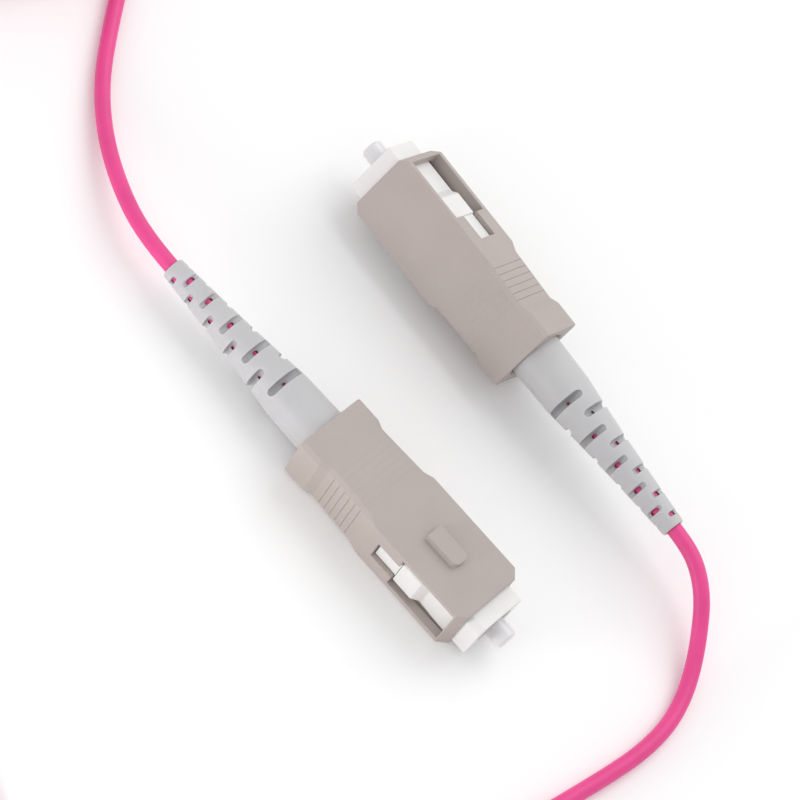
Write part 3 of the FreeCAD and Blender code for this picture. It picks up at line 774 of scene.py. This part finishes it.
# Operators
class PATCHCORD_OT_studio(bpy.types.Operator):
    """Set the camera, the lights and the pale floor"""

    bl_idname = "patch_cord.studio"
    bl_label = "Studio"

    def set_camera(self, scene, studio):
        """The camera that looks down on both connectors."""
        deselect()
        bpy.ops.object.camera_add(location=studio.eye, rotation=studio.turn)
        camera = bpy.context.object
        camera.name = "photo_camera"
        camera.data.lens = studio.lens
        camera.data.clip_start = NEAREST_SEEN
        scene.camera = camera

    def set_floor(self, studio):
        """A floor that lies a hair below the cord."""
        deselect()
        bpy.ops.mesh.primitive_plane_add(size=studio.floor_side, location=(0, 0, -FLOOR_DROP))
        floor = named("studio_floor")
        dress(floor, floor_finish())

    def set_sky(self, scene, strength):
        """Even white light from all round."""
        scene.world = scene.world or bpy.data.worlds.new("studio_world")
        scene.world.use_nodes = True
        sky = scene.world.node_tree.nodes["Background"]
        sky.inputs["Color"].default_value = (*EVEN, 1.0)
        sky.inputs["Strength"].default_value = strength
        scene.view_settings.view_transform = "Standard"

    def add_lamp(self, name, kind, place, watts):
        """A lamp that faces the frame's origin."""
        deselect()
        facing = (-Vector(place)).to_track_quat("-Z", "Y").to_euler()
        bpy.ops.object.light_add(type=kind, location=place, rotation=facing)
        lamp = bpy.context.object
        lamp.name = name
        lamp.data.energy = watts
        return lamp.data

    def execute(self, context):
        studio = settings().studio
        self.set_camera(context.scene, studio)
        self.set_floor(studio)
        self.set_sky(context.scene, studio.sky)
        back = self.add_lamp("back_light", "AREA", studio.back_place, studio.back_power)
        back.size = studio.back_side
        low = self.add_lamp("near_light", "POINT", studio.near_place, studio.near_power)
        low.shadow_soft_size = studio.near_radius
        return {"FINISHED"}


class PATCHCORD_OT_cable(bpy.types.Operator):
    """Lay the cable from boot to boot, with its put-away length in a coil"""

    bl_idname = "patch_cord.cable"
    bl_label = "Cable"

    def coil_points(self, cable, layout):
        """The coil's turns, layer on layer, sweeping in and out by a diameter each turn."""
        count = round(layout.layers * layout.turns_in_layer * COIL_POINTS_IN_TURN)
        fit = math.cos(math.pi / COIL_POINTS_IN_TURN)
        points = []
        for number in range(1, count):
            wound = number / COIL_POINTS_IN_TURN
            layer, part = divmod(wound / layout.turns_in_layer, 1)
            sweep = 1 - 2 * part if layer % 2 == 0 else 2 * part - 1
            radius = (cable.coil_mean_radius + sweep * cable.coil_half_width) / fit
            climb = 0.0
            for change in range(1, layout.layers):
                past_change = wound - change * layout.turns_in_layer
                climb += min(1.0, max(0.0, past_change / CLIMB_TURNS + 0.5))
            bearing = 2 * math.pi * wound
            points.append((
                cable.coil_x + radius * math.cos(bearing),
                cable.coil_y + radius * math.sin(bearing),
                cable.coil_low + climb * cable.diameter,
            ))
        return points

    def execute(self, context):
        cable, layout = in_mm(settings().cable), settings().layout
        start, finish = (tuple(cable_exit(end) / MM) for end in ENDS)
        points = [start, *ROUTE_A, *self.coil_points(cable, layout), *ROUTE_B[::-1], finish]
        line = bpy.data.curves.new("patch_cable", "CURVE")
        line.dimensions = "3D"
        line.bevel_depth = cable.diameter / 2 * MM
        line.bevel_resolution = 7
        line.resolution_u = 6
        line.use_fill_caps = True
        route = line.splines.new("NURBS")
        route.points.add(len(points) - 1)
        for spot, point in zip(route.points, points):
            spot.co = (*(MM * c for c in point), 1.0)
        route.order_u = 3
        route.use_endpoint_u = True
        piece = bpy.data.objects.new("patch_cable", line)
        context.scene.collection.objects.link(piece)
        dress(piece, jacket_finish())
        enlist(piece, "cord", "jacket", "cable_lead_a", "cable_coil", "cable_lead_b")
        cable_exit("a")
        return {"FINISHED"}


class PATCHCORD_OT_grips(bpy.types.Operator):
    """Model the sliding grip with its key, windows, chamfers and ribs, and lay one on each end"""

    bl_idname = "patch_cord.grips"
    bl_label = "Grips"

    def outer_body(self, grip):
        """The waisted block with its long edges cut off along the rear half."""
        half, top = grip.width / 2, grip.height / 2
        flare_start = grip.rear_block
        waist_start = flare_start + grip.flare
        waist_end = waist_start + grip.waist
        step_end = waist_end + grip.step
        body = add_block("grip_shell", (0, grip.length), (-half, half), (-top, top))
        with editing(body):
            slice_at((flare_start, waist_start, waist_end, step_end, grip.length - grip.lead_in))
            for x, inset in (
                (0, grip.rear_block_inset),
                (flare_start, grip.rear_block_inset),
                (waist_start, grip.waist_rear_inset),
                (waist_end, grip.waist_front_inset),
                (grip.length, grip.lead_in),
            ):
                pick(body, "VERT", lambda v: near(v.co.x, x))
                bpy.ops.transform.resize(value=(1, 1 - inset / half, 1), center_override=(x, 0, 0))
            pick(body, "EDGE", lambda e: max(v.co.x for v in e.verts) < waist_end + LAP
                 and reach(e, X) > LONG_EDGE)
            cut_edges(grip.chamfer)
            for side in BOTH_WAYS:
                for face in BOTH_WAYS:
                    ends = pick(body, "VERT", lambda v: waist_end + LAP < v.co.x < step_end - LAP
                                and v.co.y * side > 0 and v.co.z * face > 0)
                    corner = Vector((step_end, side * half, face * top))
                    bpy.ops.transform.translate(value=corner - ends[0])
            merge(2 * LAP)
        return body

    def key(self, grip):
        """The bar on the key face, with its two front corners rounded."""
        front = grip.length - grip.key_setback
        half = grip.key_width / 2
        foot = grip.cavity_height / 2 + grip.key_foot
        key = add_block("key", (front - grip.key_length, front), (-half, half),
                        (foot, grip.height / 2 + grip.key_height))
        with editing(key):
            pick(key, "EDGE", lambda e: lies_at(e, X, front) and reach(e, Y) < TOUCH)
            cut_edges(grip.key_corner, KEY_CORNER_STEPS)
        return key

    def hollows(self, grip, chamfer):
        """The square cavity, the rear bore with its mouth, and the two-step window."""
        wide, tall = grip.cavity_width / 2, grip.cavity_height / 2
        along = (grip.rear_bore_depth, grip.length + PAST)
        cavity = add_block("cavity", along, (-wide, wide), (-tall, tall))
        cut_key_side(cavity, tall, chamfer)
        front = grip.length - grip.lead_in - grip.window_land
        rear = front - grip.window_length
        tail_rear = rear - grip.window_tail_length
        window, tail = grip.window_height / 2, grip.window_tail_height / 2
        through = (-grip.width, grip.width)
        bore, mouth = grip.rear_bore_radius, grip.mouth_chamfer
        return [
            cavity,
            add_rod("rear_bore", -PAST, grip.rear_bore_depth + LAP, bore),
            add_rod("mouth", -mouth, 2 * mouth, bore + 2 * mouth, bore - mouth),
            add_block("window", (rear, front), through, (-window, window)),
            add_block("window_tail", (tail_rear, rear + LAP), through, (-tail, tail)),
        ]

    def cut_ribs(self, body, grip, ribs):
        """Fine grooves round the waist, which leave finger ribs between them."""
        waist_start = grip.rear_block + grip.flare
        half, top = grip.width / 2, grip.height / 2
        for number in range(ribs):
            start = waist_start + grip.rib_plain_strip + number * grip.rib_pitch
            share = (start - waist_start) / grip.waist
            inset = grip.waist_rear_inset + share * (grip.waist_front_inset - grip.waist_rear_inset)
            side = half - inset - grip.rib_side_depth
            span = (start, start + grip.rib_width)
            for way in BOTH_WAYS:
                outer = sorted((way * side, way * grip.width))
                combine(body, add_block("groove", span, outer, (-top - PAST, top + PAST)), "DIFFERENCE")
                outer = sorted((way * (top - grip.rib_face_depth), way * grip.height))
                combine(body, add_block("groove", span, (-half, half), outer), "DIFFERENCE")

    def execute(self, context):
        grip = in_mm(settings().grip)
        body = self.outer_body(grip)
        combine(body, self.key(grip), "UNION")
        for hollow in self.hollows(grip, in_mm(settings().plug_frame).chamfer):
            combine(body, hollow, "DIFFERENCE")
        drop_slivers(body)
        round_edges(body, grip.edge_round)
        self.cut_ribs(body, grip, settings().layout.ribs)
        drop_slivers(body)
        shade(body, CREASE_TURN)
        lay_on_ends(body, "grip_shell", "grip", "grip_plastic", grip_finish(), moves=True)
        return {"FINISHED"}


class PATCHCORD_OT_plug_frames(bpy.types.Operator):
    """Model the inner frame with its latch blocks and bores, and lay one in each grip"""

    bl_idname = "patch_cord.plug_frames"
    bl_label = "Plug frames"

    def latch(self, plug, side):
        """One latch block, sloped at its front and with its key-side edge cut off."""
        face = plug.width / 2
        flat_end = plug.latch_rear + plug.latch_length
        front = flat_end + plug.latch_ramp
        root, crest = face - plug.latch_root, face + plug.latch_proud
        top = plug.latch_width / 2
        across = sorted((side * root, side * crest))
        latch = add_block("latch", (plug.latch_rear, front), across, (-top, top))
        with editing(latch):
            slice_at([flat_end])
            pick(latch, "VERT", lambda v: near(v.co.x, front) and near(v.co.y, side * crest))
            bpy.ops.transform.translate(value=(0, -side * plug.latch_proud, 0))
            pick(latch, "EDGE", lambda e: lies_at(e, Z, top) and reach(e, X) > LONG_EDGE
                 and min(v.co.y * side for v in e.verts) > root + SUNK)
            cut_edges(plug.chamfer)
        return latch

    def execute(self, context):
        plug = in_mm(settings().plug_frame)
        half, top = plug.width / 2, plug.height / 2
        body = add_block("plug_body", (plug.rear, plug.front), (-half, half), (-top, top))
        cut_key_side(body, top, plug.chamfer)
        rail, rail_top = half + plug.rail_proud, plug.rail_width / 2
        along = (plug.rail_rear, plug.latch_rear + SUNK)
        combine(body, add_block("rails", along, (-rail, rail), (-rail_top, rail_top)), "UNION")
        for side in BOTH_WAYS:
            combine(body, self.latch(plug, side), "UNION")
        for bore in (
            add_rod("rear_bore", plug.rear - PAST, plug.web_rear, plug.rear_bore_radius),
            add_rod("web_hole", plug.web_rear - PAST, plug.web_front + PAST, plug.web_hole_radius),
            add_rod("nose_bore", plug.web_front, plug.front + PAST, plug.nose_bore_radius),
        ):
            combine(body, bore, "DIFFERENCE")
        round_edges(body, plug.edge_round)
        shade(body)
        lay_on_ends(body, "plug_body", "plug_frame", "frame_plastic", frame_finish())
        return {"FINISHED"}


class PATCHCORD_OT_ferrules(bpy.types.Operator):
    """Model the ceramic pin with its polished face and pressed end, and lay one in each nose"""

    bl_idname = "patch_cord.ferrules"
    bl_label = "Ferrules"

    def execute(self, context):
        pin = in_mm(settings().ferrule)
        body = add_rod("ferrule_pin", pin.rear, pin.tip, pin.radius)
        with editing(body):
            pick(body, "FACE", lambda f: f.normal.x < -FACING)
            bpy.ops.mesh.inset(thickness=pin.spigot_step, depth=0)
            bpy.ops.mesh.extrude_region_move(TRANSFORM_OT_translate={"value": (-pin.spigot_length, 0, 0)})
            pick(body, "EDGE", lambda e: lies_at(e, X, pin.tip))
            cut_edges(pin.tip_chamfer)
            pick(body, "FACE", lambda f: f.normal.x > FACING)
            half_face = (pin.radius - pin.tip_chamfer) / 2
            bpy.ops.mesh.inset(thickness=half_face, depth=pin.dome_outer)
            bpy.ops.mesh.inset(thickness=half_face - pin.core_radius, depth=pin.dome_inner)
        round_edges(body, pin.edge_round, GROUND_TURN)
        shade(body)
        pieces = lay_on_ends(
            body, "ferrule_pin", "ferrule", "ferrule_ceramic",
            ferrule_finish(), glass_finish(), moves=True)
        core_square = (2 * pin.core_radius * MM) ** 2
        for piece in pieces:
            core = max(piece.data.polygons, key=lambda f: len(f.vertices) * (f.area < core_square))
            core.material_index = 1
        return {"FINISHED"}


class PATCHCORD_OT_boots(bpy.types.Operator):
    """Model the tapered boot with four rows of slots, and lay one behind each grip"""

    bl_idname = "patch_cord.boots"
    bl_label = "Boots"

    def profile(self, boot):
        """Neck, plain base, hollow taper, round tip and stepped bore, as (x, radius) points."""
        tail = -boot.length
        taper_start, taper_end = -boot.base_length, tail + boot.tip_round
        points = [
            (boot.front, boot.crimp_bore_radius),
            (boot.front, boot.neck_radius),
            (boot.neck_start, boot.neck_radius),
            (boot.neck_start, boot.base_radius),
            (0, boot.base_radius),
        ]
        for number in range(TAPER_STEPS + 1):
            share = number / TAPER_STEPS
            straight = boot.base_end_radius + share * (boot.tip_radius - boot.base_end_radius)
            points.append((
                taper_start + share * (taper_end - taper_start),
                straight - 4 * boot.hollow * share * (1 - share),
            ))
        for number in range(TIP_STEPS):
            bend = math.pi / 2 * (number + 1) / TIP_STEPS
            points.append((
                taper_end - boot.tip_round * math.sin(bend),
                boot.tip_radius - boot.tip_round * (1 - math.cos(bend)),
            ))
        points += [
            (tail, boot.bore_radius),
            (boot.crimp_end, boot.bore_radius),
            (boot.crimp_end, boot.crimp_tail_radius),
            (boot.crimp_back, boot.crimp_tail_radius),
            (boot.crimp_front, boot.crimp_bore_radius),
            (boot.front, boot.crimp_bore_radius),
        ]
        return points

    def slot(self, x, width, half_length, floor, top):
        """A cutter with a round floor and round ends: half a ball, drawn out sideways and up."""
        radius = width / 2
        rim = floor + radius
        deselect()
        bpy.ops.mesh.primitive_uv_sphere_add(
            segments=SLOT_SIDES, ring_count=SLOT_SIDES // 2, radius=radius, location=(x, 0, rim),
            rotation=(0, 0, math.pi / SLOT_SIDES))
        cutter = named("slot")
        with editing(cutter):
            pick(cutter, "VERT", lambda v: v.co.z > rim + TOUCH)
            bpy.ops.mesh.delete(type="VERT")
            for side in BOTH_WAYS:
                pick(cutter, "VERT", lambda v: v.co.y * side > TOUCH)
                bpy.ops.transform.translate(value=(0, side * (half_length - radius), 0))
            pick(cutter, "EDGE", lambda e: lies_at(e, Z, rim))
            bpy.ops.mesh.extrude_edges_move(TRANSFORM_OT_translate={"value": (0, 0, top - rim)})
            bpy.ops.mesh.edge_face_add()
            bpy.ops.mesh.select_all(action="SELECT")
            bpy.ops.mesh.normals_make_consistent(inside=False)
        return cutter

    def slots(self, boot, in_row):
        """Cutters that stand wider apart towards the base, on two sides of the boot in turn."""
        count = 2 * in_row
        tail = -boot.length
        cutters = []
        for number in range(count):
            growth = boot.slot_gap_growth * number * (number - 1) / 2
            x = tail + boot.slot_first + number * boot.slot_gap + growth
            step = number / (count - 1)
            width = boot.slot_tip_width + step * (boot.slot_base_width - boot.slot_tip_width)
            floor = boot.slot_tip_floor + step * (boot.slot_base_floor - boot.slot_tip_floor)
            share = (x - tail) / (boot.length - boot.base_length)
            radius = boot.tip_radius + share * (boot.base_end_radius - boot.tip_radius)
            cutter = self.slot(x, width, radius - boot.slot_land, floor, boot.base_radius + PAST)
            quarter = 90 if number % 2 == 0 else 0
            for way in (quarter, quarter + 180):
                turned = twin_of(cutter, "slot")
                turned.rotation_euler = (math.radians(way), 0, 0)
                bake_place()
                cutters.append(turned)
            bpy.data.objects.remove(cutter)
        activate(cutters[0])
        for cutter in cutters:
            cutter.select_set(True)
        bpy.ops.object.join()
        return bpy.context.object

    def execute(self, context):
        boot = in_mm(settings().boot)
        body = add_turned("strain_boot", self.profile(boot))
        combine(body, self.slots(boot, settings().layout.slots_in_row), "DIFFERENCE")
        shade(body)
        lay_on_ends(body, "strain_boot", "boot", "boot_rubber", boot_finish())
        return {"FINISHED"}


class PATCHCORD_OT_coil_tie(bpy.types.Operator):
    """Model the strap that holds the coil"""

    bl_idname = "patch_cord.coil_tie"
    bl_label = "Coil tie"

    def execute(self, context):
        cable, layout = in_mm(settings().cable), settings().layout
        thick, half_width = cable.strap_thickness, cable.strap_width / 2
        half_run = cable.coil_half_width + cable.diameter / 2 + 2 * thick
        tall = layout.layers * cable.diameter + 2 * thick
        strap = add_block("tie_strap", (-half_width, half_width), (-half_run, half_run), (0, tall))
        with editing(strap):
            pick(strap, "EDGE", lambda e: reach(e, X) > LONG_EDGE)
            cut_edges(cable.strap_corner, STRAP_BEND_STEPS)
            pick(strap, "FACE", lambda f: abs(f.normal.x) > FACING)
            bpy.ops.mesh.delete(type="FACE")
        modify(strap, "SOLIDIFY", thickness=thick, offset=-1)
        flap_side = half_width - cable.flap_inset
        flap_start = -half_run + cable.strap_corner + cable.flap_setback
        flap = add_block("flap", (-flap_side, flap_side), (flap_start, flap_start + cable.flap_length),
                         (tall - SUNK / 2, tall + cable.flap_thickness))
        combine(strap, flap, "UNION")
        round_edges(strap, cable.strap_edge_round, CLOTH_TURN)
        shade(strap)
        lay(
            strap,
            Matrix.Translation((cable.coil_x * MM, cable.coil_y * MM, 0))
            @ Matrix.Rotation(layout.strap_bearing, 4, "Z")
            @ Matrix.Translation((0, -cable.coil_mean_radius * MM, 0)),
        )
        dress(strap, strap_finish())
        enlist(strap, "cord", "tie_strap", "coil_tie")
        return {"FINISHED"}


class PATCHCORD_OT_springs(bpy.types.Operator):
    """Copy the CAD springs and give each copy its finish"""

    bl_idname = "patch_cord.springs"
    bl_label = "Springs"

    def execute(self, context):
        finish = metal_finish("spring_steel", settings().colours.steel, rough=0.22, scale=5000)
        for end in ENDS:
            name, joint = f"spring_coil_{end}", f"ferrule_{end}_slide"
            piece = bpy.data.objects.new(name, frame["nodes"][f"spring_{end}"].data.copy())
            piece.data.name = name
            context.scene.collection.objects.link(piece)
            with editing(piece):
                merge(TOUCH * MM)
            shade(piece)
            dress(piece, finish)
            lie = connector_matrix(end)
            enlist(piece, "cord", "spring_steel", f"spring_{end}")
            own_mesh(piece)
        return {"FINISHED"}


class PATCHCORD_OT_inner_parts(bpy.types.Operator):
    """Finish the inner parts that stay as CAD solids"""

    bl_idname = "patch_cord.inner_parts"
    bl_label = "Inner parts"

    def execute(self, context):
        colours = settings().colours
        finishes = {
            "ferrule_flange": metal_finish("flange_metal", colours.flange, rough=0.25, scale=3000),
            "stop_ring": metal_finish("stop_ring_metal", colours.plated, rough=0.3, scale=3000),
            "crimp_sleeve": metal_finish("crimp_metal", colours.crimp, rough=0.35, scale=2500),
            "aramid_yarn": yarn_finish(),
            "jacket_end": jacket_finish(),
            "buffered_fibre": buffer_finish(),
        }
        for stem, finish in finishes.items():
            for end in ENDS:
                dress(frame["nodes"][f"{stem}_{end}"], finish)
        return {"FINISHED"}


class PATCHCORD_PT_sidebar(bpy.types.Panel):
    """Settings and steps of the patch cord"""

    bl_idname = "PATCHCORD_PT_sidebar"
    bl_label = "Patch cord"
    bl_space_type = "VIEW_3D"
    bl_region_type = "UI"
    bl_category = "Patch cord"

    def draw(self, context):
        for step in STEPS:
            self.layout.operator(step.bl_idname)
        for group in PatchCordSettings.__annotations__:
            box = self.layout.box()
            box.label(text=group.replace("_", " ").capitalize())
            values = getattr(context.scene.patch_cord, group)
            for key in values.__annotations__:
                box.prop(values, key)


GROUPS = (
    GripSizes,
    PlugFrameSizes,
    FerruleSizes,
    BootSizes,
    CableSizes,
    LayoutSettings,
    FinishColours,
    StudioSettings,
)
STEPS = (
    PATCHCORD_OT_studio,
    PATCHCORD_OT_coil_tie,
    PATCHCORD_OT_cable,
    PATCHCORD_OT_grips,
    PATCHCORD_OT_plug_frames,
    PATCHCORD_OT_ferrules,
    PATCHCORD_OT_boots,
    PATCHCORD_OT_springs,
    PATCHCORD_OT_inner_parts,
)
CLASSES = (*GROUPS, PatchCordSettings, *STEPS, PATCHCORD_PT_sidebar)


def register():
    """Adds the classes and the scene's settings."""
    for one in CLASSES:
        bpy.utils.register_class(one)
    bpy.types.Scene.patch_cord = PointerProperty(type=PatchCordSettings)


def unregister():
    """Takes them away again."""
    del bpy.types.Scene.patch_cord
    for one in reversed(CLASSES):
        bpy.utils.unregister_class(one)


def main():
    """Builds the whole patch cord, step by step."""
    register()
    bpy.ops.patch_cord.studio()
    bpy.ops.patch_cord.coil_tie()
    bpy.ops.patch_cord.cable()
    bpy.ops.patch_cord.grips()
    bpy.ops.patch_cord.plug_frames()
    bpy.ops.patch_cord.ferrules()
    bpy.ops.patch_cord.boots()
    bpy.ops.patch_cord.springs()
    bpy.ops.patch_cord.inner_parts()


if __name__ == "__main__":
    main()
